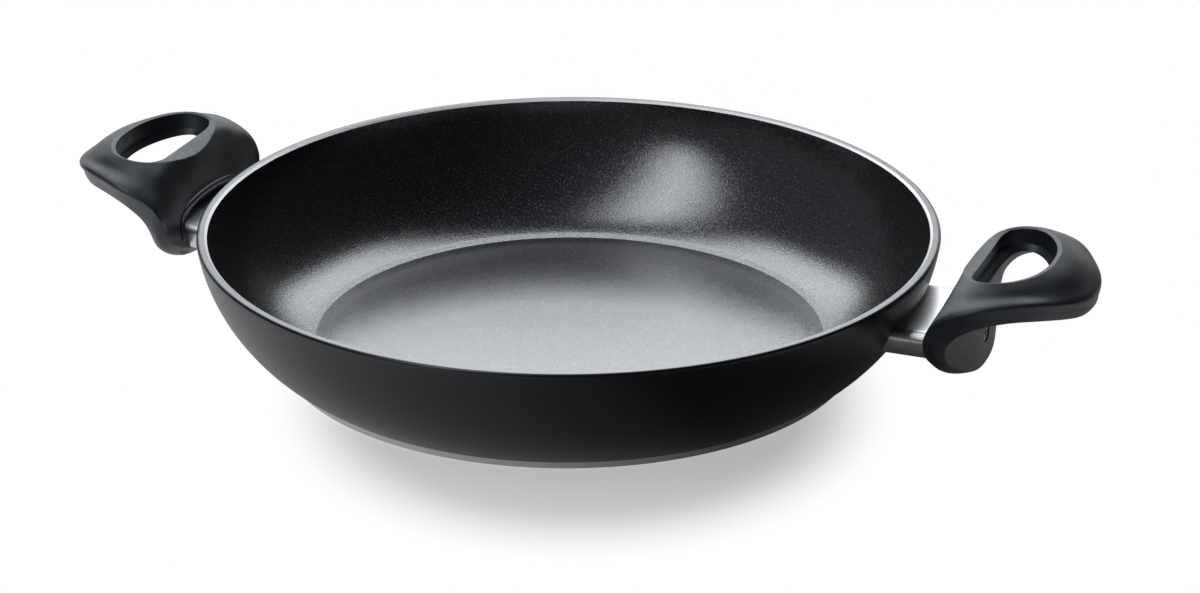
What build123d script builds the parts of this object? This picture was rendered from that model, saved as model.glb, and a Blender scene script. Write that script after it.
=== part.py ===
from build123d import *
import math
import os

# Shallow frying pan with two side handles, in millimetres.
# +Z is up, the pan stands on z = 0, and the handles lie along +X and -X.

# Pan body: cast and turned aluminium
rim_radius = 145.0            # outside of the painted lip
pan_height = 51.8             # top of the bare rim
lip_radius = 1.1              # rounding of the painted lip
rim_width = 3.1               # lip and flat of the rim together
rim_bevel_width = 1.0         # bevel between the flat and the inside coating
rim_bevel_drop = 0.7
wall_run = 30.4               # the foot lies this far inside the rim
wall_arc_radius = 69.4        # curve of the outer wall
inner_arc_radius = 60.0       # curve of the inner wall
floor_inset = 10.6            # floor ring, inside the foot
floor_thickness = 3.2         # floor plate over the disc
floor_step = 0.5              # the floor lies this much below its ring
floor_step_width = 1.2
band_height = 2.9             # bare turned band round the foot
band_chamfer = 0.8

# Steel disc pressed into the underside
disc_inset = 5.6              # edge of the disc, inside the foot
disc_thickness = 1.2
disc_proud = 0.15             # the disc stands this far below the body
groove_first_radius = 28.0
groove_pitch = 14.0
groove_width = 1.6
groove_depth = 0.3
groove_margin = 8.0           # plain edge of the disc

# Ferrule: flat stainless tube between the pan wall and the handle
ferrule_width = 50.0
ferrule_height = 10.7
ferrule_drop = 14.3           # its top, below the rim
ferrule_corner = 4.0
ferrule_wall = 0.7
ferrule_run = 18.0            # its end inside the handle, outside the rim

# Stud, screw and spring washer that pull the handle on to the ferrule
screw_diameter = 4.0
screw_length = 13.0
head_overhang = 1.2
head_height = 2.6
slot_width = 1.0
slot_length = 3.8
slot_depth = 1.1
washer_margin = 0.1           # the washer is this much wider than the head
washer_thickness = 0.9
washer_cut = 0.8              # the cut in the spring washer
stud_wall = 1.2
stud_inset = 0.6              # its end, inside the ferrule's end
bore_run_out = 3.0            # threaded bore past the screw's tip

# Handle: hollows for the ferrule and the screw
end_wall = 2.1                # wall that the screw clamps
mouth_inset = 1.0             # sides of the arched mouth, inside the ferrule's sides
mouth_rise = 3.5              # top of the arch over the ferrule
mouth_side_rise = 0.5         # foot of the arch over the ferrule
mouth_run = 16.6              # how far out from the rim the arched mouth is cut

# Clearances
wall_gap = 0.05               # between the pan wall and what stands against it
thread_clearance = 0.05
shank_clearance = 0.15
access_clearance = 0.2
stud_clearance = 0.2          # between the stud and the ferrule's floor
pocket_clearance = 0.15       # round the ferrule
pocket_end_gap = 0.3

# Places that follow from the sizes above
foot_radius = rim_radius - wall_run
floor_ring_radius = foot_radius - floor_inset
floor_height = disc_thickness + floor_thickness
disc_radius = foot_radius - disc_inset
ferrule_top = pan_height - ferrule_drop
ferrule_bottom = ferrule_top - ferrule_height
ferrule_end = rim_radius + ferrule_run
stud_diameter = screw_diameter + 2 * stud_wall
stud_end = ferrule_end - stud_inset
screw_height = ferrule_bottom + ferrule_wall + stud_clearance + stud_diameter / 2
head_diameter = screw_diameter + 2 * head_overhang
washer_diameter = head_diameter + 2 * washer_margin
seat_reach = ferrule_end + pocket_end_gap + end_wall
head_reach = seat_reach + washer_thickness
screw_tip_reach = head_reach - screw_length

# Handle: lines that run from the nose round to the middle of the pan side. Each row is
# one station: (distance out from the rim, distance across, height over the ferrule's top).
border_line = [
    (50.0, 0.0, 27.0), (49.3, 9.5, 27.0), (46.3, 18.5, 27.0), (40.8, 25.8, 27.0),
    (33.0, 29.7, 26.7), (26.3, 28.4, 26.0), (22.2, 24.8, 25.3), (19.9, 20.5, 24.5),
    (18.6, 16.5, 23.8), (17.7, 12.5, 23.0), (17.0, 8.5, 22.4), (16.6, 4.2, 21.9),
    (16.5, 0.0, 21.7),
]
shoulder_line = [
    (56.6, 0.0, 24.4), (55.4, 10.2, 24.5), (51.3, 19.4, 24.7), (44.2, 27.9, 25.3),
    (35.4, 32.8, 25.0), (27.3, 33.4, 24.0), (21.5, 31.2, 22.3), (18.4, 29.0, 20.3),
    (16.8, 25.5, 18.3), (15.9, 20.5, 16.3), (15.5, 14.0, 15.0), (15.4, 7.0, 14.5),
    (15.4, 0.0, 14.3),
]
flank_line = [
    (62.6, 0.0, 19.7), (61.3, 10.8, 20.2), (56.8, 20.6, 21.4), (48.3, 30.1, 23.1),
    (38.0, 36.3, 23.3), (28.9, 39.1, 22.0), (21.2, 38.4, 19.5), (16.5, 36.8, 15.8),
    (14.0, 34.6, 11.5), (13.0, 29.5, 7.5), (13.2, 21.0, 3.5), (13.7, 10.5, 0.5),
    (13.8, 0.0, -0.5),
]
skirt_line = [
    (65.9, 0.0, 15.1), (64.5, 11.0, 16.1), (59.8, 20.9, 17.9), (51.9, 32.0, 21.0),
    (40.7, 39.7, 21.4), (30.6, 44.2, 20.3), (21.4, 44.6, 17.3), (15.0, 43.9, 13.2),
    (11.9, 42.5, 7.5), (11.3, 37.5, 0.8), (11.0, 27.5, -5.0), (11.0, 13.5, -8.2),
    (11.0, 0.0, -9.0),
]
crease_line = [
    (65.4, 0.0, 12.9), (63.8, 10.5, 14.2), (58.7, 20.1, 16.5), (51.3, 31.8, 19.8),
    (40.4, 39.6, 20.4), (30.5, 44.2, 19.3), (21.6, 44.7, 16.5), (15.0, 44.0, 12.2),
    (11.3, 42.8, 6.0), (10.6, 38.3, -1.7), (10.0, 28.5, -8.3), (9.6, 14.5, -12.0),
    (9.6, 0.0, -12.9),
]
band_line = [
    (65.3, 0.0, 11.6), (63.5, 10.1, 12.1), (58.2, 19.6, 13.9), (51.3, 30.4, 16.8),
    (41.3, 37.5, 17.6), (32.1, 41.6, 16.1), (24.2, 42.6, 13.1), (18.3, 42.6, 8.4),
    (15.0, 42.6, 2.2), (15.4, 37.1, -6.3), (16.5, 25.0, -13.9), (17.3, 12.0, -18.2),
    (17.7, 0.0, -19.2),
]
low_edge_line = [
    (64.5, 0.0, 10.4), (62.6, 9.7, 10.1), (57.4, 18.5, 11.3), (50.8, 28.7, 13.7),
    (42.0, 35.5, 14.3), (33.5, 39.0, 12.7), (26.5, 40.6, 9.8), (21.2, 40.6, 5.5),
    (18.8, 39.2, -0.5), (19.7, 33.7, -7.1), (22.3, 23.0, -13.2), (24.3, 11.5, -17.2),
    (24.8, 0.0, -18.2),
]
hollow_line = [
    (55.0, 0.0, 14.4), (54.0, 8.7, 14.6), (50.0, 17.0, 15.1), (44.7, 24.5, 16.2),
    (37.5, 29.5, 16.5), (31.5, 30.0, 15.9), (27.5, 28.0, 13.9), (25.0, 25.5, 11.0),
    (23.8, 24.0, 8.0), (23.8, 20.0, 4.5), (24.2, 14.0, 1.5), (24.5, 7.0, -0.5),
    (24.6, 0.0, -1.0),
]
lip_line = [
    (46.4, 0.0, 17.1), (45.6, 8.2, 17.1), (42.9, 16.4, 17.3), (38.4, 22.9, 17.7),
    (33.0, 25.6, 18.0), (28.8, 23.2, 17.9), (27.3, 18.8, 17.8), (26.9, 15.2, 17.7),
    (26.7, 12.2, 17.7), (26.6, 9.2, 17.7), (26.5, 6.2, 17.7), (26.5, 3.1, 17.7),
    (26.5, 0.0, 17.7),
]
wall_foot_line = [
    (48.5, 0.0, 19.7), (47.6, 9.2, 19.7), (44.5, 18.0, 19.9), (39.3, 25.0, 20.1),
    (33.0, 27.6, 20.3), (26.7, 25.8, 20.3), (23.8, 21.5, 20.0), (23.0, 17.5, 19.9),
    (23.0, 14.0, 19.9), (23.0, 10.5, 19.9), (23.0, 7.0, 19.9), (23.0, 3.5, 19.9),
    (23.0, 0.0, 19.9),
]
hole_edge_line = [
    (48.3, 0.0, 25.7), (47.6, 9.2, 25.7), (44.7, 17.8, 25.7), (39.7, 24.8, 25.7),
    (33.0, 28.2, 25.5), (26.4, 26.7, 25.0), (23.7, 22.6, 24.6), (23.0, 18.5, 24.4),
    (23.0, 14.7, 24.3), (23.0, 11.0, 24.3), (23.0, 7.3, 24.3), (23.0, 3.6, 24.3),
    (23.0, 0.0, 24.3),
]

loft_run_on = 3               # mirrored stations that carry the loft past the middle


def revolved(*edges):
    """Solid of revolution about the pan's axis from a closed outline drawn as (radius, z)."""
    return revolve(Plane.XZ * make_face(Wire(list(edges))), Axis.Z)


def wall_ends(gap=0.0):
    """Ends of the outer wall's arc as (radius, z): at the lip and at the foot."""
    lip_side = (rim_radius + gap, pan_height - lip_radius)
    foot = (foot_radius + gap, band_height)
    return lip_side, foot


def make_pan_body():
    lip_side, foot = wall_ends()
    lip_top = (rim_radius - lip_radius, pan_height)
    lip_fall = lip_radius * (1 - math.sqrt(0.5))
    lip_middle = (rim_radius - lip_fall, pan_height - lip_fall)
    rim_in = (rim_radius - rim_width, pan_height)
    coat_top = (rim_in[0] - rim_bevel_width, pan_height - rim_bevel_drop)
    ring = (floor_ring_radius, floor_height + floor_step)
    step = (floor_ring_radius - floor_step_width, floor_height)
    floor_middle = (0, floor_height)
    recess_middle = (0, disc_thickness)
    recess_edge = (disc_radius, disc_thickness)
    recess_foot = (disc_radius, disc_proud)
    band_foot = (foot_radius - band_chamfer, disc_proud)
    band_side = (foot_radius, disc_proud + band_chamfer)
    return revolved(
        RadiusArc(foot, lip_side, -wall_arc_radius),
        ThreePointArc(lip_side, lip_middle, lip_top),
        Line(lip_top, rim_in),
        Line(rim_in, coat_top),
        RadiusArc(coat_top, ring, inner_arc_radius),
        Line(ring, step),
        Line(step, floor_middle),
        Line(floor_middle, recess_middle),
        Line(recess_middle, recess_edge),
        Line(recess_edge, recess_foot),
        Line(recess_foot, band_foot),
        Line(band_foot, band_side),
        Line(band_side, foot),
    )


def make_base_disc():
    disc = Cylinder(disc_radius, disc_thickness, align=(Align.CENTER, Align.CENTER, Align.MIN))
    radius = groove_first_radius
    while radius < disc_radius - groove_margin:
        outer = Cylinder(radius + groove_width / 2, 2 * groove_depth)
        inner = Cylinder(radius - groove_width / 2, 2 * groove_depth)
        disc -= outer - inner
        radius += groove_pitch
    return disc


def wall_cutter():
    """Everything inside the outer wall, to trim what stands against it."""
    lip_side, foot = wall_ends(wall_gap)
    top = (lip_side[0], pan_height)
    top_middle = (0, pan_height)
    low = (foot[0], 0)
    return revolved(
        RadiusArc(foot, lip_side, -wall_arc_radius),
        Line(lip_side, top),
        Line(top, top_middle),
        Line(top_middle, (0, 0)),
        Line((0, 0), low),
        Line(low, foot),
    )


def along_x(sketch, start, end):
    """Extrude a sketch drawn as (y, z) along X from start to end."""
    plane = Plane(origin=(start, 0, 0), x_dir=(0, 1, 0), z_dir=(1, 0, 0))
    return extrude(plane * sketch, amount=end - start)


def rod(diameter, start, end):
    """Round bar on the screw's axis."""
    return along_x(Pos(0, screw_height) * Circle(diameter / 2), start, end)


def tube_section(grow):
    """Rounded section of the ferrule, grown on every side."""
    width = ferrule_width + 2 * grow
    height = ferrule_height + 2 * grow
    section = RectangleRounded(width, height, ferrule_corner + grow)
    return Pos(0, ferrule_top - ferrule_height / 2) * section


def make_ferrule():
    tube = along_x(tube_section(0), foot_radius, ferrule_end)
    bore = along_x(tube_section(-ferrule_wall), foot_radius, ferrule_end)
    return tube - bore - wall_cutter()


def make_stud():
    shank = rod(stud_diameter, foot_radius, stud_end)
    bore_diameter = screw_diameter + 2 * thread_clearance
    bore = rod(bore_diameter, screw_tip_reach - bore_run_out, stud_end)
    return shank - wall_cutter() - bore


def make_washer():
    ring = Circle(washer_diameter / 2) - Circle(screw_diameter / 2 + thread_clearance)
    ring -= Pos(0, washer_diameter / 2) * Rectangle(washer_cut, washer_diameter)
    return along_x(Pos(0, screw_height) * ring, seat_reach, head_reach)


def make_screw():
    head_end = head_reach + head_height
    shank = rod(screw_diameter, screw_tip_reach, head_reach)
    head = rod(head_diameter, head_reach, head_end)
    cross = Rectangle(slot_width, slot_length) + Rectangle(slot_length, slot_width)
    recess = along_x(Pos(0, screw_height) * cross, head_end - slot_depth, head_end)
    return shank + head - recess


def placed(point):
    """A station's point in the pan's frame."""
    out, across, up = point
    return (rim_radius + out, across, ferrule_top + up)


def station_wire(index):
    """Closed outline of the handle's skin at one station."""
    border = placed(border_line[index])
    shoulder = placed(shoulder_line[index])
    flank = placed(flank_line[index])
    skirt = placed(skirt_line[index])
    crease = placed(crease_line[index])
    band = placed(band_line[index])
    low_edge = placed(low_edge_line[index])
    hollow = placed(hollow_line[index])
    lip = placed(lip_line[index])
    wall_foot = placed(wall_foot_line[index])
    hole_edge = placed(hole_edge_line[index])
    return Wire([
        Spline(border, shoulder, flank, skirt, crease),
        Spline(crease, band, low_edge),
        Spline(low_edge, hollow, lip),
        Line(lip, wall_foot),
        Line(wall_foot, hole_edge),
        Line(hole_edge, border),
    ])


def make_grip():
    """Solid form of the handle: half of the ring from nose to pan side, and its mirror."""
    stations = [station_wire(index) for index in range(len(border_line))]
    nose_side = [wire.mirror(Plane.XZ) for wire in stations[loft_run_on:0:-1]]
    pan_side = [wire.mirror(Plane.XZ) for wire in stations[-2:-2 - loft_run_on:-1]]
    ring = Solid.make_loft(nose_side + stations + pan_side)
    size = 4 * rim_radius
    half = ring & Box(size, size, size, align=(Align.CENTER, Align.MIN, Align.CENTER))
    return half + mirror(half, about=Plane.XZ)


def mouth_section():
    """Arched opening over the ferrule, drawn as (y, z)."""
    side = ferrule_width / 2 - mouth_inset
    foot = ferrule_top + mouth_side_rise
    left = (-side, foot)
    right = (side, foot)
    low_left = (-side, ferrule_bottom)
    low_right = (side, ferrule_bottom)
    return make_face(Wire([
        ThreePointArc(left, (0, ferrule_top + mouth_rise), right),
        Line(right, low_right),
        Line(low_right, low_left),
        Line(low_left, left),
    ]))


def make_handle():
    nose_reach = placed(skirt_line[0])[0]
    pocket = along_x(tube_section(pocket_clearance), rim_radius, ferrule_end + pocket_end_gap)
    mouth = along_x(mouth_section(), rim_radius, rim_radius + mouth_run)
    shank_hole = rod(screw_diameter + 2 * shank_clearance, ferrule_end, seat_reach)
    access = rod(washer_diameter + 2 * access_clearance, seat_reach, nose_reach)
    return make_grip() - pocket - mouth - shank_hole - access


def main():
    os.makedirs("parts", exist_ok=True)
    pieces = {"pan_body": make_pan_body(), "base_disc": make_base_disc()}
    side = {
        "handle": make_handle(),
        "ferrule": make_ferrule(),
        "stud": make_stud(),
        "screw": make_screw(),
        "washer": make_washer(),
    }
    for name, shape in side.items():
        pieces["right_" + name] = shape
        pieces["left_" + name] = Rot(0, 0, 180) * shape
    for name, shape in pieces.items():
        export_step(shape, "parts/" + name + ".step")


main()
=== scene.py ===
import math

import bmesh
import bpy
import numpy as np
from mathutils import Matrix, Vector


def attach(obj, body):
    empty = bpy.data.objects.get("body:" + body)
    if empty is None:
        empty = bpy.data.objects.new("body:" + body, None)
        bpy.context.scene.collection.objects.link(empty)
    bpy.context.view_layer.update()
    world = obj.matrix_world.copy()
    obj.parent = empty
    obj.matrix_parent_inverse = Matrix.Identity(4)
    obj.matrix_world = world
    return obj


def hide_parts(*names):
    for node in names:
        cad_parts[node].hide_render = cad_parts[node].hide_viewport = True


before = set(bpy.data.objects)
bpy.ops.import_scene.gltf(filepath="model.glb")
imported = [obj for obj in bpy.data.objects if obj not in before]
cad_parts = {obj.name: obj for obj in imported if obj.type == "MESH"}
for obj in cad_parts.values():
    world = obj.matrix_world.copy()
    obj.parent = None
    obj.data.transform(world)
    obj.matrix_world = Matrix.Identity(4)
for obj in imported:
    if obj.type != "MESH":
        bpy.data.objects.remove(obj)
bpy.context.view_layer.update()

# Lengths are in millimetres unless a comment says otherwise, and meshes are made in metres.
MM = 0.001
SAME_POINT = 1e-6
MERGE_DISTANCE = 1e-6         # metres

# Pan; pairs are (distance from the axis, height)
RIM_RADIUS = 145.0
PAN_HEIGHT = 51.8
LIP_RADIUS = 1.1
LIP_SIDE = (RIM_RADIUS, PAN_HEIGHT - LIP_RADIUS)
LIP_TOP = (RIM_RADIUS - LIP_RADIUS, PAN_HEIGHT)
BARE_OUTER = 143.8
RIM_FLAT_INNER = 141.9
COAT_TOP = (140.9, 51.1)
OUTER_ARC_RADIUS = 69.4
INNER_ARC_RADIUS = 60.0
FOOT = (114.6, 2.9)
BAND_CHAMFER = 0.8
DISC_RADIUS = 109.0
DISC_THICKNESS = 1.2
DISC_PROUD = 0.15
DISC_EDGE = 0.3               # chamfer of the disc's lower edge
FLOOR_RING = (104.0, 4.9)     # top of the ring where wall and floor meet
RIDGE_FOOT = (100.9, 4.0)
GROOVE_RISE = (94.0, 4.45)
FLOOR_MIDDLE = 5.3
LIP_STEPS = 8
DOME_STEPS = 30
AROUND = 384                  # faces round the axis

# Ring grooves in the disc
GROOVE_FIRST = 28.0
GROOVE_PITCH = 14.0
GROOVE_WIDTH = 1.6
GROOVE_DEPTH = 0.3
GROOVE_SLOPE = 0.2            # width of each sloped side
GROOVE_COUNT = 6

# Ferrule
FERRULE_WIDTH = 50.0
FERRULE_HEIGHT = 10.7
FERRULE_TOP = 37.5
FERRULE_MIDDLE = FERRULE_TOP - FERRULE_HEIGHT / 2
FERRULE_CORNER = 4.0
FERRULE_WALL = 0.7
FERRULE_END = 163.0
FERRULE_EDGE = 2.0            # longest edge round its section
FERRULE_STEPS = 10
WALL_GAP = 0.05               # between the pan's wall and the ferrule

# Hollows of the handle
POCKET_CLEARANCE = 0.15
POCKET_END = 163.3
MOUTH_HALF = 24.0             # half its width
MOUTH_TOP = 41.0
MOUTH_FOOT = 38.0
MOUTH_END = 161.6
MOUTH_STEPS = 32
SCREW_HEIGHT = 30.9
ACCESS_RADIUS = 3.5
ACCESS_START = 165.4
ACCESS_END = 176.0

# Collar round the mouth of the handle
COLLAR_GAP = 2.4              # its middle line, outside the ferrule
COLLAR_RISE = 3.2             # its arch over the ferrule
COLLAR_RADIUS = 1.4
COLLAR_FOOT = (156.0, 28.5)   # (distance out, height) of a point on it
COLLAR_LEAN = 0.25            # outwards for each millimetre up
COLLAR_SINK = 0.5             # further in for each millimetre below the middle
COLLAR_EDGE = 1.0             # longest edge round the mouth
COLLAR_AROUND = 16            # faces round its section

# Camera of the photograph; its distance, side and rise are in metres.
CAMERA_AZIMUTH = math.radians(21.0)
CAMERA_ELEVATION = math.radians(23.15)
CAMERA_DISTANCE = 1.3482
CAMERA_SIDE = 0.0172
CAMERA_RISE = 0.0182
CAMERA_LENS = 101.83
CAMERA_SHIFT = (-0.01088, 0.0004)
CAMERA_ROLL = math.radians(-0.05)
SENSOR_WIDTH = 36.0

# Lamps: name, degrees to the right of straight behind the pan, degrees up, degrees turned
# about its own facing, distance, (width, height) in metres, shape, radiance.
LAMPS = [
    ("back", -2.0, 40.5, 0.0, 1.5, (1.50, 1.06), "RECTANGLE", 2.7),
    ("left", -119.0, 61.0, 33.0, 1.5, (0.46, 2.10), "ELLIPSE", 3.0),
]
LAMP_COLOR = (0.93, 0.965, 1.0)

# World: the dim room from left to right, and the white low at the back, as parts of the way
ROOM_STOPS = [
    (0.0, (0.11, 0.114, 0.124)), (0.45, (0.05, 0.052, 0.058)), (0.75, (0.02, 0.021, 0.024)),
]
WHITE_HEIGHTS = (0.22, 0.40)
WHITE_DEPTHS = (0.76, 0.90)

# Floor
FLOOR_REACH = 2500.0
FLOOR_RINGS = 12
FLOOR_SPOKES = 96
FLOOR_COLOR = 0.55
FLOOR_GLOW = 0.45
# Where the floor turns to white: centre and reach in metres, and the part of the reach
# where the change starts, as the camera sees it and as the pan mirrors it.
SHADOW_SEEN = ((0.006, -0.05), (0.121, 0.140), 0.66)
SHADOW_MIRRORED = ((0.0, 0.0), (0.27, 0.36), 0.72)
# Painted reflection: to glossy rays only, the floor is pale on the pan's left (0) and dark on its
# right (1), so that the pan mirrors a dark right side that the floor doesn't have.
PAINTED_REFLECTION_HALF_WIDTH = 0.25      # metres
PAINTED_REFLECTION_DARK = 0.04
PAINTED_REFLECTION_STOPS = [
    (0.18, (0.0, 0.0, 0.0)), (0.62, (1.0, 1.0, 1.0)),
    (0.76, (1.0, 1.0, 1.0)), (0.88, (0.55, 0.55, 0.55)),
]

# Blue tints of the gloss, which paint the cool colour of the light into the reflections, and the
# scales of noises, which are per metre
COOL = (0.92, 0.95, 1.0, 1.0)
COOLER = (0.84, 0.91, 1.0, 1.0)
FLECK_COLOR = (0.24, 0.25, 0.27)
FLECK_SCALE = 1800.0
FLECK_START = 0.61            # noise level where a fleck starts
FLECK_METAL = 0.66            # where it is all metal
FLECK_BRIGHT = 0.70           # where it has its full colour
GRAIN_SCALE = 2100.0
GRAIN_DEPTH = 0.00006         # metres
NOISE_RANGE = (0.3, 0.7)      # holds most of a noise's values
RIM_LINES = (9000.0, 2.0, 9000.0)     # outwards, per radian, upwards
DISC_LINES = (6000.0, 2.0, 6000.0)
BRUSH_LINES = (5000.0, 600.0, 5000.0)

# Handle: lines that run from the nose round to the middle of the pan side. Each row is
# one station: (distance out from the rim, distance across, height over the ferrule's top).
BORDER = [
    (50.0, 0.0, 27.0), (49.3, 9.5, 27.0), (46.3, 18.5, 27.0), (40.8, 25.8, 27.0),
    (33.0, 29.7, 26.7), (26.3, 28.4, 26.0), (22.2, 24.8, 25.3), (19.9, 20.5, 24.5),
    (18.6, 16.5, 23.8), (17.7, 12.5, 23.0), (17.0, 8.5, 22.4), (16.6, 4.2, 21.9),
    (16.5, 0.0, 21.7),
]
SHOULDER = [
    (56.6, 0.0, 24.4), (55.4, 10.2, 24.5), (51.3, 19.4, 24.7), (44.2, 27.9, 25.3),
    (35.4, 32.8, 25.0), (27.3, 33.4, 24.3), (21.5, 31.2, 23.1), (18.4, 29.0, 21.4),
    (16.8, 25.5, 19.2), (15.9, 20.5, 16.9), (15.5, 14.0, 15.3), (15.4, 7.0, 14.6),
    (15.4, 0.0, 14.3),
]
FLANK = [
    (62.6, 0.0, 19.7), (61.3, 10.8, 20.2), (56.8, 20.6, 21.4), (48.3, 30.1, 23.1),
    (38.0, 36.3, 23.3), (28.9, 39.1, 22.2), (21.2, 38.4, 20.2), (16.5, 36.8, 16.9),
    (14.0, 34.6, 12.5), (13.0, 29.5, 8.1), (13.2, 21.0, 3.8), (13.7, 10.5, 0.6),
    (13.8, 0.0, -0.5),
]
SKIRT = [
    (65.9, 0.0, 15.1), (64.5, 11.0, 16.1), (59.8, 20.9, 17.9), (51.9, 32.0, 21.0),
    (40.7, 39.7, 21.4), (30.6, 44.2, 20.3), (21.4, 44.6, 17.3), (15.0, 43.9, 13.2),
    (11.9, 42.5, 7.5), (11.3, 37.5, 0.8), (11.0, 27.5, -5.0), (11.0, 13.5, -8.2),
    (11.0, 0.0, -9.0),
]
CREASE = [
    (65.4, 0.0, 12.9), (63.8, 10.5, 14.2), (58.7, 20.1, 16.5), (51.3, 31.8, 19.8),
    (40.4, 39.6, 20.4), (30.5, 44.2, 19.3), (21.6, 44.7, 16.5), (15.0, 44.0, 12.2),
    (11.3, 42.8, 6.0), (10.6, 38.3, -1.7), (10.0, 28.5, -8.3), (9.6, 14.5, -12.0),
    (9.6, 0.0, -12.9),
]
BAND = [
    (65.3, 0.0, 11.6), (63.5, 10.1, 12.1), (58.2, 19.6, 13.9), (51.3, 30.4, 16.8),
    (41.3, 37.5, 17.6), (32.1, 41.6, 16.1), (24.2, 42.6, 13.1), (18.3, 42.6, 8.4),
    (15.0, 42.6, 2.2), (15.4, 37.1, -6.3), (16.5, 25.0, -13.9), (17.3, 12.0, -18.2),
    (17.7, 0.0, -19.2),
]
LOW_EDGE = [
    (64.5, 0.0, 10.4), (62.6, 9.7, 10.1), (57.4, 18.5, 11.3), (50.8, 28.7, 13.7),
    (42.0, 35.5, 14.3), (33.5, 39.0, 12.7), (26.5, 40.6, 9.8), (21.2, 40.6, 5.5),
    (18.8, 39.2, -0.5), (19.7, 33.7, -7.1), (22.3, 23.0, -13.2), (24.3, 11.5, -17.2),
    (24.8, 0.0, -18.2),
]
HOLLOW = [
    (55.0, 0.0, 14.4), (54.0, 8.7, 14.6), (50.0, 17.0, 15.1), (44.7, 24.5, 16.2),
    (37.5, 29.5, 16.5), (31.5, 30.0, 15.9), (27.5, 28.0, 13.9), (25.0, 25.5, 11.0),
    (23.8, 24.0, 8.0), (23.8, 20.0, 4.5), (24.2, 14.0, 1.5), (24.5, 7.0, -0.5),
    (24.6, 0.0, -1.0),
]
LIP = [
    (46.4, 0.0, 17.1), (45.6, 8.2, 17.1), (42.9, 16.4, 17.3), (38.4, 22.9, 17.7),
    (33.0, 25.6, 18.0), (28.8, 23.2, 17.9), (27.3, 18.8, 17.8), (26.9, 15.2, 17.7),
    (26.7, 12.2, 17.7), (26.6, 9.2, 17.7), (26.5, 6.2, 17.7), (26.5, 3.1, 17.7),
    (26.5, 0.0, 17.7),
]
WALL_FOOT = [
    (48.5, 0.0, 19.7), (47.6, 9.2, 19.7), (44.5, 18.0, 19.9), (39.3, 25.0, 20.1),
    (33.0, 27.6, 20.3), (26.7, 25.8, 20.3), (23.8, 21.5, 20.0), (23.0, 17.5, 19.9),
    (23.0, 14.0, 19.9), (23.0, 10.5, 19.9), (23.0, 7.0, 19.9), (23.0, 3.5, 19.9),
    (23.0, 0.0, 19.9),
]
HOLE_EDGE = [
    (48.3, 0.0, 26.6), (47.6, 9.2, 26.6), (44.7, 17.8, 26.6), (39.7, 24.8, 26.6),
    (33.0, 28.2, 26.2), (26.4, 26.7, 25.4), (23.7, 22.6, 24.8), (23.0, 18.5, 24.4),
    (23.0, 14.7, 24.3), (23.0, 11.0, 24.3), (23.0, 7.3, 24.3), (23.0, 3.6, 24.3),
    (23.0, 0.0, 24.3),
]

# The handle's faces between those lines, with the rows of quads on each,
# and the rounding in millimetres at the corner where each face starts.
FACES = [
    ([BORDER, SHOULDER, FLANK, SKIRT, CREASE], 36, 0.35),
    ([CREASE, BAND, LOW_EDGE], 12, 0.4),
    ([LOW_EDGE, HOLLOW, LIP], 18, 0.45),
    ([LIP, WALL_FOOT], 3, 0.4),
    ([WALL_FOOT, HOLE_EDGE], 5, 0.4),
    ([HOLE_EDGE, BORDER], 5, 0.3),
]
ROUNDING_ROWS = (0.25, 0.5, 0.75)
HALF_STATIONS = 144           # steps along half of each line


def new_mesh(name, verts, faces, materials, indices=None, smooth=True):
    """Mesh object from points in millimetres."""
    mesh = bpy.data.meshes.new(name)
    mesh.from_pydata([tuple(c * MM for c in v) for v in verts], [], faces)
    for material in materials:
        mesh.materials.append(material)
    if indices is not None:
        mesh.polygons.foreach_set("material_index", indices)
    mesh.polygons.foreach_set("use_smooth", [smooth] * len(mesh.polygons))
    mesh.update()
    obj = bpy.data.objects.new(name, mesh)
    bpy.context.scene.collection.objects.link(obj)
    return obj


def sharpen(obj, degrees):
    """Marks as sharp each edge whose faces meet at more than the angle."""
    obj.data.set_sharp_from_angle(angle=math.radians(degrees))


def ring_faces(rows, around):
    """Quads of a surface that closes both ways: rows of points, each a closed ring."""
    faces = []
    for r in range(rows):
        s = (r + 1) % rows
        for k in range(around):
            n = (k + 1) % around
            faces.append((r * around + k, s * around + k, s * around + n, r * around + n))
    return faces


# Materials

def material(name):
    """New node material; returns it with its node tree and its shader."""
    mat = bpy.data.materials.new(name)
    mat.use_nodes = True
    tree = mat.node_tree
    return mat, tree, tree.nodes["Principled BSDF"]


def add(tree, kind, **values):
    """New node with some of its settings."""
    node = tree.nodes.new(kind)
    for key, value in values.items():
        setattr(node, key, value)
    return node


def object_coords(tree):
    return add(tree, "ShaderNodeTexCoord").outputs["Object"]


def noise(tree, vector, scale, detail=2.0):
    node = add(tree, "ShaderNodeTexNoise")
    node.inputs["Scale"].default_value = scale
    node.inputs["Detail"].default_value = detail
    tree.links.new(vector, node.inputs["Vector"])
    return node.outputs["Fac"]


def map_range(tree, value, low, high, to_low, to_high):
    node = add(tree, "ShaderNodeMapRange")
    node.inputs["From Min"].default_value = low
    node.inputs["From Max"].default_value = high
    node.inputs["To Min"].default_value = to_low
    node.inputs["To Max"].default_value = to_high
    tree.links.new(value, node.inputs["Value"])
    return node.outputs["Result"]


def ramp(tree, value, stops):
    """Colour from a value, by stops of (place, colour)."""
    node = add(tree, "ShaderNodeValToRGB")
    elements = node.color_ramp.elements
    while len(elements) < len(stops):
        elements.new(0.5)
    for element, (place, color) in zip(elements, stops):
        element.position = place
        element.color = (*color, 1.0)
    tree.links.new(value, node.inputs["Fac"])
    return node.outputs["Color"]


def toward_white(tree, factor, color):
    """The colour, blended to white by the factor."""
    node = add(tree, "ShaderNodeMix", data_type="RGBA")
    # A mix node has sockets of every kind, and its colours are numbers 6 and 7.
    tree.links.new(factor, node.inputs[0])
    tree.links.new(color, node.inputs[6])
    node.inputs[7].default_value = (1.0, 1.0, 1.0, 1.0)
    return node.outputs[2]


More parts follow.
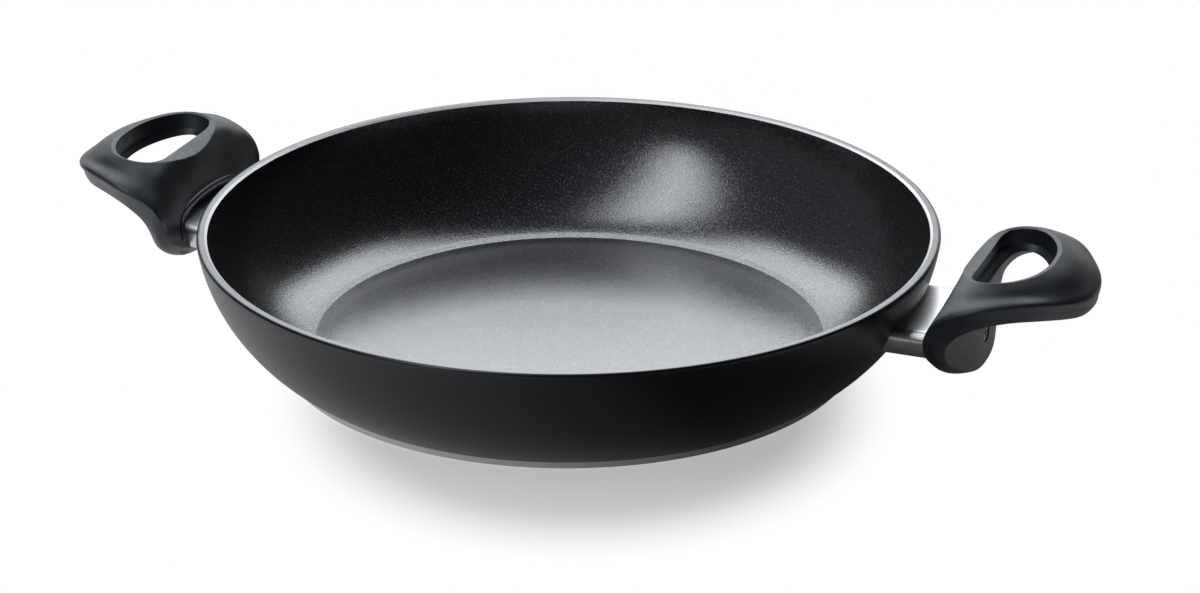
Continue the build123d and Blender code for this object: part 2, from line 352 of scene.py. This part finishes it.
def shader_mix(tree, factor, first, second):
    node = add(tree, "ShaderNodeMixShader")
    tree.links.new(factor, node.inputs["Fac"])
    tree.links.new(first.outputs[0], node.inputs[1])
    tree.links.new(second.outputs[0], node.inputs[2])
    return node


def paint(tree, shader, marks, stops):
    """Base colour that follows the marks."""
    tree.links.new(ramp(tree, marks, stops), shader.inputs["Base Color"])


def roughen(tree, shader, marks, low, high):
    """Roughness that follows the marks from low to high."""
    rough = map_range(tree, marks, *NOISE_RANGE, low, high)
    tree.links.new(rough, shader.inputs["Roughness"])


def bump(tree, shader, height, strength, distance):
    """Relief from a height, in metres."""
    node = add(tree, "ShaderNodeBump")
    node.inputs["Strength"].default_value = strength
    node.inputs["Distance"].default_value = distance
    tree.links.new(height, node.inputs["Height"])
    tree.links.new(node.outputs["Normal"], shader.inputs["Normal"])
    return node


def polar_coords(tree):
    """Coordinates (radius, angle, height), for marks that run round the pan's axis."""
    split = add(tree, "ShaderNodeSeparateXYZ")
    tree.links.new(object_coords(tree), split.inputs["Vector"])
    angle = add(tree, "ShaderNodeMath", operation="ARCTAN2")
    tree.links.new(split.outputs["Y"], angle.inputs[0])
    tree.links.new(split.outputs["X"], angle.inputs[1])
    flat = add(tree, "ShaderNodeCombineXYZ")
    tree.links.new(split.outputs["X"], flat.inputs["X"])
    tree.links.new(split.outputs["Y"], flat.inputs["Y"])
    length = add(tree, "ShaderNodeVectorMath", operation="LENGTH")
    tree.links.new(flat.outputs["Vector"], length.inputs[0])
    joined = add(tree, "ShaderNodeCombineXYZ")
    tree.links.new(length.outputs["Value"], joined.inputs["X"])
    tree.links.new(angle.outputs["Value"], joined.inputs["Y"])
    tree.links.new(split.outputs["Z"], joined.inputs["Z"])
    return joined.outputs["Vector"]


def stretched(tree, vector, scale, turn=0.0):
    """Coordinates scaled, and turned about z."""
    node = add(tree, "ShaderNodeMapping")
    node.inputs["Scale"].default_value = scale
    node.inputs["Rotation"].default_value = (0.0, 0.0, turn)
    tree.links.new(vector, node.inputs["Vector"])
    return node.outputs["Vector"]


def nonstick_material(name, smooth, coarse, haze):
    """Black coating: a clear skin over a base with metallic flecks, and a fine grain."""
    mat, tree, shader = material(name)
    coords = object_coords(tree)
    marks = noise(tree, coords, FLECK_SCALE, 1.0)
    paint(tree, shader, marks, [
        (0.0, (0.0030, 0.0032, 0.0042)),
        (FLECK_START, (0.0036, 0.0038, 0.0050)),
        (FLECK_BRIGHT, FLECK_COLOR),
    ])
    metal = map_range(tree, marks, FLECK_START, FLECK_METAL, 0.0, 1.0)
    tree.links.new(metal, shader.inputs["Metallic"])
    roughen(tree, shader, noise(tree, coords, 900.0), coarse - 0.04, coarse + 0.04)
    shader.inputs["IOR"].default_value = haze
    # Painted blue tint of the reflections, for the cool light.
    shader.inputs["Specular Tint"].default_value = COOL
    shader.inputs["Coat Weight"].default_value = 1.0
    shader.inputs["Coat IOR"].default_value = 2.2
    shader.inputs["Coat Roughness"].default_value = smooth
    grain = bump(tree, shader, noise(tree, coords, GRAIN_SCALE, 1.0), 1.0, GRAIN_DEPTH)
    tree.links.new(grain.outputs["Normal"], shader.inputs["Coat Normal"])
    return mat


def lacquer_material():
    """Dark satin lacquer on the outer wall."""
    mat, tree, shader = material("lacquer")
    coords = object_coords(tree)
    paint(tree, shader, noise(tree, coords, 14.0, 3.0), [
        (0.3, (0.0030, 0.0033, 0.0044)), (0.7, (0.0038, 0.0041, 0.0054)),
    ])
    roughen(tree, shader, noise(tree, coords, 700.0), 0.28, 0.34)
    shader.inputs["IOR"].default_value = 1.55
    # Painted blue tint of the reflections, for the cool light.
    shader.inputs["Specular Tint"].default_value = COOL
    bump(tree, shader, noise(tree, coords, 1100.0, 1.0), 0.15, 0.00003)
    return mat


def turned_metal_material(name, lines, bright):
    """Bare metal with fine turning lines round the pan's axis."""
    mat, tree, shader = material(name)
    marks = noise(tree, stretched(tree, polar_coords(tree), lines), 1.0)
    low = bright * 0.88
    paint(tree, shader, marks, [
        (0.25, (low, low, low * 1.01)), (0.75, (bright, bright, bright * 1.01)),
    ])
    roughen(tree, shader, marks, 0.36, 0.48)
    shader.inputs["Metallic"].default_value = 1.0
    shader.inputs["Anisotropic"].default_value = 0.7
    around = add(tree, "ShaderNodeTangent", direction_type="RADIAL", axis="Z")
    tree.links.new(around.outputs["Tangent"], shader.inputs["Tangent"])
    bump(tree, shader, marks, 0.12, 0.00003)
    return mat


def brushed_steel_material():
    """Satin stainless tube with a fine grain across the handle's axis."""
    mat, tree, shader = material("brushed_steel")
    marks = noise(tree, stretched(tree, object_coords(tree), BRUSH_LINES), 1.0)
    paint(tree, shader, marks, [(0.25, (0.66, 0.66, 0.67)), (0.75, (0.84, 0.84, 0.85))])
    roughen(tree, shader, marks, 0.28, 0.36)
    shader.inputs["Metallic"].default_value = 1.0
    bump(tree, shader, marks, 0.10, 0.00002)
    return mat


def phenolic_material():
    """Dark grey moulded phenolic with a fine matt grain."""
    mat, tree, shader = material("phenolic")
    coords = object_coords(tree)
    paint(tree, shader, noise(tree, coords, 60.0, 3.0), [
        (0.3, (0.0140, 0.0158, 0.0195)), (0.7, (0.0170, 0.0192, 0.0235)),
    ])
    roughen(tree, shader, noise(tree, coords, 500.0), 0.38, 0.48)
    shader.inputs["IOR"].default_value = 1.65
    # Painted blue tint of the reflections, for the cool light.
    shader.inputs["Specular Tint"].default_value = COOLER
    bump(tree, shader, noise(tree, coords, 1700.0, 1.0), 0.5, 0.00004)
    return mat


def plain_steel_material():
    """Plain metal of the screws, washers and studs."""
    mat, tree, shader = material("plain_steel")
    marks = noise(tree, object_coords(tree), 900.0)
    paint(tree, shader, marks, [(0.3, (0.42, 0.42, 0.43)), (0.7, (0.52, 0.52, 0.53))])
    roughen(tree, shader, marks, 0.30, 0.42)
    shader.inputs["Metallic"].default_value = 1.0
    return mat


# Pan

def line(start, end, count):
    """Points from start to end, in count steps."""
    return [
        (start[0] + (end[0] - start[0]) * k / count, start[1] + (end[1] - start[1]) * k / count)
        for k in range(count + 1)
    ]


def arc_centre(start, end, radius, bulge):
    """Centre of an arc from start to end that bulges to the right (1) or the left (-1)."""
    a = np.array(start)
    b = np.array(end)
    chord = b - a
    half = np.linalg.norm(chord) / 2
    side = np.array([chord[1], -chord[0]]) / (2 * half) * bulge
    return (a + b) / 2 - side * math.sqrt(radius ** 2 - half ** 2)


def arc(start, end, radius, count, bulge):
    """Points of such an arc, in count steps."""
    centre = arc_centre(start, end, radius, bulge)
    first = math.atan2(start[1] - centre[1], start[0] - centre[0])
    last = math.atan2(end[1] - centre[1], end[0] - centre[0])
    turn = (last - first + math.pi) % (2 * math.pi) - math.pi
    angles = [first + turn * k / count for k in range(count + 1)]
    return [(centre[0] + radius * math.cos(t), centre[1] + radius * math.sin(t)) for t in angles]


def turned(name, runs, materials):
    """Solid of revolution. Each run is (points, material index), and they follow on."""
    points = []
    kinds = []
    for run, kind in runs:
        for point in run:
            if points and math.dist(points[-1], point) < SAME_POINT:
                continue
            points.append(point)
            kinds.append(kind)
    verts = []
    rows = []
    for r, z in points:
        if r < SAME_POINT:
            rows.append([len(verts)])
            verts.append((0.0, 0.0, z))
        else:
            rows.append(list(range(len(verts), len(verts) + AROUND)))
            for k in range(AROUND):
                t = 2 * math.pi * k / AROUND
                verts.append((r * math.cos(t), r * math.sin(t), z))
    faces = []
    indices = []
    for low, high, kind in zip(rows, rows[1:], kinds[1:]):
        for k in range(AROUND):
            n = (k + 1) % AROUND
            if len(low) == 1:
                faces.append((low[0], high[n], high[k]))
            elif len(high) == 1:
                faces.append((low[k], low[n], high[0]))
            else:
                faces.append((low[k], low[n], high[n], high[k]))
            indices.append(kind)
    obj = new_mesh(name, verts, faces, materials, indices)
    sharpen(obj, 30)
    return obj


def make_pan(materials):
    """Turned dish, from the middle of its underside round to the middle of its floor."""
    outside, wall, floor_zone, rim, bevel, foot = range(len(materials))
    lip = [
        (LIP_TOP[0] + LIP_RADIUS * math.cos(t), LIP_SIDE[1] + LIP_RADIUS * math.sin(t))
        for t in (math.pi / 2 * k / LIP_STEPS for k in range(LIP_STEPS + 1))
    ]
    dome = [
        (GROOVE_RISE[0] * t, FLOOR_MIDDLE - (FLOOR_MIDDLE - GROOVE_RISE[1]) * t ** 2)
        for t in (1 - k / DOME_STEPS for k in range(DOME_STEPS + 1))
    ]
    band_foot = (FOOT[0] - BAND_CHAMFER, DISC_PROUD)
    band_side = (FOOT[0], DISC_PROUD + BAND_CHAMFER)
    runs = [
        (line((0.0, DISC_THICKNESS), (DISC_RADIUS, DISC_THICKNESS), 6), foot),
        (line((DISC_RADIUS, DISC_THICKNESS), (DISC_RADIUS, DISC_PROUD), 1), foot),
        (line((DISC_RADIUS, DISC_PROUD), band_foot, 2), foot),
        (line(band_foot, band_side, 2), foot),
        (line(band_side, FOOT, 2), foot),
        (arc(FOOT, LIP_SIDE, OUTER_ARC_RADIUS, 48, 1), outside),
        (lip, outside),
        (line(LIP_TOP, (BARE_OUTER, PAN_HEIGHT), 1), outside),
        (line((BARE_OUTER, PAN_HEIGHT), (RIM_FLAT_INNER, PAN_HEIGHT), 2), rim),
        (line((RIM_FLAT_INNER, PAN_HEIGHT), COAT_TOP, 2), bevel),
        (arc(COAT_TOP, FLOOR_RING, INNER_ARC_RADIUS, 56, -1), wall),
        (line(FLOOR_RING, RIDGE_FOOT, 8), wall),
        (line(RIDGE_FOOT, GROOVE_RISE, 12), floor_zone),
        (dome, floor_zone),
    ]
    return turned("pan", runs, materials)


def make_disc(steel):
    """Steel disc with ring grooves in its underside."""
    low = [(0.0, 0.0)]
    for k in range(GROOVE_COUNT):
        middle = GROOVE_FIRST + k * GROOVE_PITCH
        inner = middle - GROOVE_WIDTH / 2
        outer = middle + GROOVE_WIDTH / 2
        low += [(inner, 0.0), (inner + GROOVE_SLOPE, GROOVE_DEPTH)]
        low += [(outer - GROOVE_SLOPE, GROOVE_DEPTH), (outer, 0.0)]
    low += [(DISC_RADIUS - DISC_EDGE, 0.0), (DISC_RADIUS, DISC_EDGE)]
    low += [(DISC_RADIUS, DISC_THICKNESS)]
    top = [(DISC_RADIUS, DISC_THICKNESS), (0.0, DISC_THICKNESS)]
    return turned("disc", [(low, 0), (top, 0)], [steel])


# Ferrule

def rounded_section(width, height, corner, count=10):
    """Rounded rectangle round the ferrule's middle, as (across, height) points."""
    points = []
    for sx, sz, start in ((1, 1, 0), (-1, 1, 90), (-1, -1, 180), (1, -1, 270)):
        cx = sx * (width / 2 - corner)
        cz = FERRULE_MIDDLE + sz * (height / 2 - corner)
        for k in range(count + 1):
            t = math.radians(start + 90 * k / count)
            points.append((cx + corner * math.cos(t), cz + corner * math.sin(t)))
    return points


def divided(points, longest):
    """The same closed outline with its long edges divided."""
    out = []
    for a, b in zip(points, points[1:] + points[:1]):
        count = max(1, round(math.dist(a, b) / longest))
        out += line(a, b, count)[:-1]
    return out


def wall_reach(across, height):
    """How far out the pan's outer wall stands at a distance across and a height."""
    centre = arc_centre(FOOT, LIP_SIDE, OUTER_ARC_RADIUS, 1)
    radius = centre[0] + math.sqrt(OUTER_ARC_RADIUS ** 2 - (height - centre[1]) ** 2) + WALL_GAP
    return math.sqrt(radius ** 2 - across ** 2)


def ferrule_ring(section, part):
    """A section of the tube, part of the way from the pan's wall to the tube's end."""
    ring = []
    for y, z in section:
        wall = wall_reach(y, z)
        ring.append((wall + (FERRULE_END - wall) * part, y, z))
    return ring


def make_ferrule(side, name, steel):
    """Flat tube between the pan's wall and the handle, open at both ends."""
    section = rounded_section(FERRULE_WIDTH, FERRULE_HEIGHT, FERRULE_CORNER)
    outer = divided(section, FERRULE_EDGE)
    narrower = 1 - 2 * FERRULE_WALL / FERRULE_WIDTH
    lower = 1 - 2 * FERRULE_WALL / FERRULE_HEIGHT
    inner = [(y * narrower, FERRULE_MIDDLE + (z - FERRULE_MIDDLE) * lower) for y, z in outer]
    rings = []
    for k in range(FERRULE_STEPS + 1):
        rings.append(ferrule_ring(outer, k / FERRULE_STEPS))
    for k in range(FERRULE_STEPS, -1, -1):
        rings.append(ferrule_ring(inner, k / FERRULE_STEPS))
    verts = [(side * x, side * y, z) for ring in rings for x, y, z in ring]
    faces = [face[::-1] for face in ring_faces(len(rings), len(outer))]
    obj = new_mesh(name, verts, faces, [steel])
    sharpen(obj, 40)
    return obj


# Handle

def spline_weights(places, flat):
    """Matrix from a cubic spline's values to its second derivatives at the same places."""
    n = len(places)
    a = np.zeros((n, n))
    b = np.zeros((n, n))
    h = np.diff(places)
    for i in range(1, n - 1):
        a[i, i - 1:i + 2] = h[i - 1], 2 * (h[i - 1] + h[i]), h[i]
        b[i, i - 1:i + 2] = 6 / h[i - 1], -6 / h[i - 1] - 6 / h[i], 6 / h[i]
    if flat:
        a[0, :2] = 2 * h[0], h[0]
        b[0, :2] = -6 / h[0], 6 / h[0]
        a[-1, -2:] = h[-1], 2 * h[-1]
        b[-1, -2:] = 6 / h[-1], -6 / h[-1]
    else:
        a[0, 0] = a[-1, -1] = 1
    return np.linalg.solve(a, b)


def spline(places, values, at, flat=False):
    """Cubic spline through values at places, read at other places."""
    places = np.asarray(places, float)
    second = np.tensordot(spline_weights(places, flat), values, 1)
    i = np.clip(np.searchsorted(places, at, side="right") - 1, 0, len(places) - 2)
    h = places[i + 1] - places[i]
    s = (at - places[i]) / h
    shape = s.shape + (1,) * (np.ndim(values) - 1)
    s = s.reshape(shape)
    h = h.reshape(shape)
    low = values[i] * (1 - s) + values[i + 1] * s
    bend = ((1 - s) ** 3 - (1 - s)) * second[i] + (s ** 3 - s) * second[i + 1]
    return low + bend * h ** 2 / 6


def along_line(stations):
    """One of the handle's lines, smooth from the nose to the pan side."""
    values = np.array(stations) + np.array([RIM_RADIUS, 0.0, FERRULE_TOP])
    places = np.arange(len(values))
    at = np.linspace(0, len(values) - 1, HALF_STATIONS + 1)
    out = spline(places, values, at, flat=True)
    out[:, 1] = spline(places, values[:, 1], at)
    return out


def face_rows(lines, count, round_start, round_end):
    """Rows of points over one face, short of its two corners by their roundings."""
    smooth = np.stack([along_line(stations) for stations in lines])
    steps = np.linalg.norm(np.diff(smooth, axis=0), axis=2)
    length = steps.sum(0).mean()
    places = np.concatenate([[0], np.cumsum(steps.mean(1))]) / length
    at = np.linspace(round_start / length, 1 - round_end / length, count + 1)
    if len(lines) == 2:
        rows = smooth[0] + (smooth[1] - smooth[0]) * at[:, None, None]
    else:
        rows = spline(places, smooth, at)
    return rows, smooth[-1]


def handle_rows():
    """All rows round the handle's section, with a rounded corner between faces."""
    rows = []
    parts = []
    for k, (lines, count, rounding) in enumerate(FACES):
        after = FACES[(k + 1) % len(FACES)][2]
        parts.append(face_rows(lines, count, rounding, after))
    for k, (face, corner) in enumerate(parts):
        following = parts[(k + 1) % len(parts)][0]
        rows += list(face)
        for t in ROUNDING_ROWS:
            rows.append((1 - t) ** 2 * face[-1] + 2 * t * (1 - t) * corner + t ** 2 * following[0])
    return np.array(rows)


def make_handle_form(side, name, phenolic):
    """The closed loop of the handle, before its hollows are cut."""
    half = handle_rows()
    other = half[:, -2:0:-1] * np.array([1, -1, 1])
    ring = np.concatenate([half, other], axis=1)
    verts = [(side * x, side * y, z) for x, y, z in ring.reshape(-1, 3)]
    return new_mesh(name, verts, ring_faces(*ring.shape[:2]), [phenolic])


def prism(name, outline, start, end, side):
    """Closed cutter from an outline of (across, height) points, along the handle's axis."""
    count = len(outline)
    verts = [(side * x, side * y, z) for x in (start, end) for y, z in outline]
    faces = [tuple(range(count - 1, -1, -1)), tuple(range(count, 2 * count))]
    for k in range(count):
        n = (k + 1) % count
        faces.append((k, n, count + n, count + k))
    return new_mesh(name, verts, faces, [], smooth=False)


def arch_outline():
    """Arched opening over the ferrule, drawn as (across, height)."""
    rise = MOUTH_TOP - MOUTH_FOOT
    radius = (MOUTH_HALF ** 2 + rise ** 2) / (2 * rise)
    spread = math.asin(MOUTH_HALF / radius)
    points = [
        (radius * math.sin(t), MOUTH_TOP - radius * (1 - math.cos(t)))
        for t in (spread - 2 * spread * k / MOUTH_STEPS for k in range(MOUTH_STEPS + 1))
    ]
    return points + [(-MOUTH_HALF, FERRULE_MIDDLE), (MOUTH_HALF, FERRULE_MIDDLE)]


def circle_outline(radius, height, count=40):
    """Circle across the handle's axis, as (across, height) points."""
    return [
        (radius * math.cos(t), height + radius * math.sin(t))
        for t in (2 * math.pi * k / count for k in range(count))
    ]


def cut(obj, cutters):
    """Takes the cutters out of the mesh, joins doubled points, and deletes the cutters."""
    for cutter in cutters:
        step = obj.modifiers.new(cutter.name, "BOOLEAN")
        step.operation = "DIFFERENCE"
        step.solver = "EXACT"
        step.object = cutter
    graph = bpy.context.evaluated_depsgraph_get()
    mesh = bpy.data.meshes.new_from_object(obj.evaluated_get(graph))
    joined = bmesh.new()
    joined.from_mesh(mesh)
    bmesh.ops.remove_doubles(joined, verts=joined.verts, dist=MERGE_DISTANCE)
    joined.to_mesh(mesh)
    joined.free()
    obj.modifiers.clear()
    old = obj.data
    obj.data = mesh
    mesh.name = old.name
    bpy.data.meshes.remove(old)
    for cutter in cutters:
        data = cutter.data
        bpy.data.objects.remove(cutter)
        bpy.data.meshes.remove(data)


def make_collar(side, name, phenolic):
    """Rounded lip round the mouth, where the ferrule enters the handle."""
    half_width = FERRULE_WIDTH / 2 + COLLAR_GAP
    half_height = FERRULE_HEIGHT / 2 + COLLAR_GAP
    section = rounded_section(2 * half_width, 2 * half_height, FERRULE_CORNER + COLLAR_GAP)
    path = []
    for y, z in divided(section, COLLAR_EDGE):
        above = z - FERRULE_MIDDLE
        lift = COLLAR_RISE * max(0.0, above / half_height) * (1 - (y / half_width) ** 2)
        reach = COLLAR_FOOT[0] + COLLAR_LEAN * (z + lift - COLLAR_FOOT[1])
        reach += COLLAR_SINK * max(0.0, -above)
        path.append(Vector((reach, y, z + lift)))
    verts = []
    for k, place in enumerate(path):
        ahead = (path[(k + 1) % len(path)] - path[k - 1]).normalized()
        outward = ahead.cross(Vector((1.0, 0.0, 0.0))).normalized()
        over = outward.cross(ahead)
        for j in range(COLLAR_AROUND):
            t = 2 * math.pi * j / COLLAR_AROUND
            point = place + COLLAR_RADIUS * (outward * math.cos(t) + over * math.sin(t))
            verts.append((side * point.x, side * point.y, point.z))
    return new_mesh(name, verts, ring_faces(len(path), COLLAR_AROUND), [phenolic])


def make_handle(side, name, phenolic):
    """Handle with its pocket for the ferrule, its mouth and the way in to the screw."""
    obj = make_handle_form(side, name, phenolic)
    seat = rounded_section(
        FERRULE_WIDTH + 2 * POCKET_CLEARANCE, FERRULE_HEIGHT + 2 * POCKET_CLEARANCE,
        FERRULE_CORNER + POCKET_CLEARANCE,
    )
    bore = circle_outline(ACCESS_RADIUS, SCREW_HEIGHT)
    cut(obj, [
        prism("pocket", seat, RIM_RADIUS, POCKET_END, side),
        prism("mouth", arch_outline(), RIM_RADIUS, MOUTH_END, side),
        prism("access", bore, ACCESS_START, ACCESS_END, side),
    ])
    obj.data.polygons.foreach_set("use_smooth", [True] * len(obj.data.polygons))
    sharpen(obj, 35)
    return obj


# Floor, lamps, world and camera

def reach_mask(tree, coords, centre, reach, start):
    """0 inside an ellipse on the floor, rising from a start radius to 1 at its edge."""
    moved = add(tree, "ShaderNodeVectorMath", operation="SUBTRACT")
    tree.links.new(coords, moved.inputs[0])
    moved.inputs[1].default_value = (*centre, 0.0)
    scaled = stretched(tree, moved.outputs["Vector"], (1 / reach[0], 1 / reach[1], 1.0))
    length = add(tree, "ShaderNodeVectorMath", operation="LENGTH")
    tree.links.new(scaled, length.inputs[0])
    node = add(tree, "ShaderNodeMapRange", interpolation_type="SMOOTHSTEP")
    node.inputs["From Min"].default_value = start
    node.inputs["From Max"].default_value = 1.0
    tree.links.new(length.outputs["Value"], node.inputs["Value"])
    return node.outputs["Result"]


def floor_material():
    """Pale floor: keeps the shadow near the pan and runs out to plain white, and shows glossy rays
    a painted reflection that is dark on the pan's right.
    """
    mat, tree, shader = material("floor")
    tree.nodes.remove(shader)
    diffuse = add(tree, "ShaderNodeBsdfDiffuse")
    diffuse.inputs["Color"].default_value = (FLOOR_COLOR, FLOOR_COLOR, FLOOR_COLOR, 1.0)
    glow = add(tree, "ShaderNodeEmission")
    glow.inputs["Strength"].default_value = FLOOR_GLOW
    near = add(tree, "ShaderNodeAddShader")
    tree.links.new(diffuse.outputs[0], near.inputs[0])
    tree.links.new(glow.outputs[0], near.inputs[1])
    white = add(tree, "ShaderNodeEmission")
    coords = stretched(tree, object_coords(tree), (1.0, 1.0, 1.0), -CAMERA_AZIMUTH)
    seen = shader_mix(tree, reach_mask(tree, coords, *SHADOW_SEEN), near, white)
    split = add(tree, "ShaderNodeSeparateXYZ")
    tree.links.new(coords, split.inputs["Vector"])
    # Painted reflection: glossy rays see a dim glow on the floor's right, where the floor the
    # camera sees is white.
    across = map_range(
        tree, split.outputs["X"], -PAINTED_REFLECTION_HALF_WIDTH, PAINTED_REFLECTION_HALF_WIDTH, 0.0, 1.0
    )
    shade = ramp(tree, across, PAINTED_REFLECTION_STOPS)
    bright = shader_mix(tree, reach_mask(tree, coords, *SHADOW_MIRRORED), near, white)
    dark = add(tree, "ShaderNodeEmission")
    dark.inputs["Strength"].default_value = PAINTED_REFLECTION_DARK
    floor_with_painted_reflection = shader_mix(tree, shade, bright, dark)
    paths = add(tree, "ShaderNodeLightPath")
    glossy = shader_mix(tree, paths.outputs["Is Glossy Ray"], seen, floor_with_painted_reflection)
    lit = shader_mix(tree, paths.outputs["Is Diffuse Ray"], glossy, diffuse)
    tree.links.new(lit.outputs[0], tree.nodes["Material Output"].inputs["Surface"])
    return mat


def make_floor():
    """Wide round floor under the pan."""
    verts = []
    faces = []
    for r in range(FLOOR_RINGS + 1):
        reach = FLOOR_REACH * r / FLOOR_RINGS
        for k in range(FLOOR_SPOKES):
            t = 2 * math.pi * k / FLOOR_SPOKES
            verts.append((reach * math.cos(t), reach * math.sin(t), 0.0))
    for r in range(FLOOR_RINGS):
        near = r * FLOOR_SPOKES
        far = near + FLOOR_SPOKES
        for k in range(FLOOR_SPOKES):
            n = (k + 1) % FLOOR_SPOKES
            faces.append((near + k, far + k, far + n, near + n))
    new_mesh("floor", verts, faces, [floor_material()])


def make_world():
    """White to the camera; other rays see a dim room with white low at the back."""
    world = bpy.data.worlds.new("studio")
    bpy.context.scene.world = world
    world.use_nodes = True
    tree = world.node_tree
    back = tree.nodes["Background"]
    way = add(tree, "ShaderNodeTexCoord").outputs["Generated"]
    split = add(tree, "ShaderNodeSeparateXYZ")
    tree.links.new(stretched(tree, way, (1.0, 1.0, 1.0), -CAMERA_AZIMUTH), split.inputs["Vector"])
    room = ramp(tree, map_range(tree, split.outputs["X"], -1.0, 1.0, 0.0, 1.0), ROOM_STOPS)
    low = map_range(tree, split.outputs["Z"], *WHITE_HEIGHTS, 1.0, 0.0)
    behind = map_range(tree, split.outputs["Y"], *WHITE_DEPTHS, 0.0, 1.0)
    wall = add(tree, "ShaderNodeMath", operation="MULTIPLY")
    tree.links.new(low, wall.inputs[0])
    tree.links.new(behind, wall.inputs[1])
    paths = add(tree, "ShaderNodeLightPath")
    seen = add(tree, "ShaderNodeMath", operation="MAXIMUM")
    tree.links.new(wall.outputs["Value"], seen.inputs[0])
    tree.links.new(paths.outputs["Is Camera Ray"], seen.inputs[1])
    color = toward_white(tree, seen.outputs["Value"], room)
    tree.links.new(color, back.inputs["Color"])
    back.inputs["Strength"].default_value = 1.0


def make_lamp(name, side, rise, roll, reach, size, shape, radiance):
    """Soft-box at an angle to the right of straight behind the pan, and an angle up."""
    data = bpy.data.lights.new(name, "AREA")
    data.shape = shape
    data.size, data.size_y = size
    area = size[0] * size[1] * (math.pi / 4 if shape == "ELLIPSE" else 1.0)
    data.energy = math.pi * area * radiance
    data.color = LAMP_COLOR
    obj = bpy.data.objects.new(name, data)
    bpy.context.scene.collection.objects.link(obj)
    turn = math.radians(side) - CAMERA_AZIMUTH
    lift = math.radians(rise)
    way = Vector((math.sin(turn) * math.cos(lift), math.cos(turn) * math.cos(lift), math.sin(lift)))
    obj.location = way * reach + Vector((0.0, 0.0, PAN_HEIGHT * MM / 2))
    facing = way.to_track_quat("Z", "Y").to_matrix() @ Matrix.Rotation(math.radians(roll), 3, "Z")
    obj.rotation_euler = facing.to_euler()
    obj.visible_camera = False


def make_camera():
    """Camera that looks at the pan as the photograph does."""
    a = CAMERA_AZIMUTH
    e = CAMERA_ELEVATION
    back = Vector((math.sin(a) * math.cos(e), -math.cos(a) * math.cos(e), math.sin(e)))
    right = Vector((math.cos(a), math.sin(a), 0))
    up = back.cross(right)
    data = bpy.data.cameras.new("camera")
    data.sensor_fit = "HORIZONTAL"
    data.sensor_width = SENSOR_WIDTH
    data.lens = CAMERA_LENS
    data.shift_x, data.shift_y = CAMERA_SHIFT
    data.clip_start = 0.05
    data.clip_end = 20.0
    obj = bpy.data.objects.new("camera", data)
    bpy.context.scene.collection.objects.link(obj)
    turn = Matrix((right, up, back)).transposed().to_4x4() @ Matrix.Rotation(CAMERA_ROLL, 4, "Z")
    place = back * CAMERA_DISTANCE + right * CAMERA_SIDE + up * CAMERA_RISE
    obj.matrix_world = Matrix.Translation(place) @ turn
    bpy.context.scene.camera = obj


def main():
    bpy.context.scene.view_settings.view_transform = "Standard"
    make_camera()
    wall_coat = nonstick_material("nonstick_wall", 0.13, 0.42, 1.3)
    floor_coat = nonstick_material("nonstick_floor", 0.11, 0.42, 1.5)
    lacquer = lacquer_material()
    # One bare aluminium at three brightnesses: the rim flat is darkened to 0.28 as painted shade,
    # and the foot band is lightened to 0.95 as a painted sheen.
    rim = turned_metal_material("bare_rim_painted_shade", RIM_LINES, 0.28)
    bevel = turned_metal_material("bare_bevel", RIM_LINES, 0.92)
    band = turned_metal_material("bare_band_painted_sheen", RIM_LINES, 0.95)
    disc_steel = turned_metal_material("disc_steel", DISC_LINES, 0.60)
    steel = brushed_steel_material()
    phenolic = phenolic_material()
    plain_steel = plain_steel_material()

    pan = make_pan([lacquer, wall_coat, floor_coat, rim, bevel, band])
    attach(pan, "root")
    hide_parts("pan_body")

    disc = make_disc(disc_steel)
    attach(disc, "root")
    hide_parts("base_disc")

    for side, word in ((1, "right"), (-1, "left")):
        ferrule = make_ferrule(side, word + "_ferrule_tube", steel)
        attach(ferrule, "root")
        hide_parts(word + "_ferrule")
        grip = make_handle(side, word + "_grip", phenolic)
        collar = make_collar(side, word + "_collar", phenolic)
        for piece in (grip, collar):
            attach(piece, "root")
        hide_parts(word + "_handle")
        for piece in ("_stud", "_screw", "_washer"):
            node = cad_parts[word + piece]
            for place in node.material_slots:
                place.material = plain_steel

    make_floor()
    make_world()
    for lamp in LAMPS:
        make_lamp(*lamp)


main()
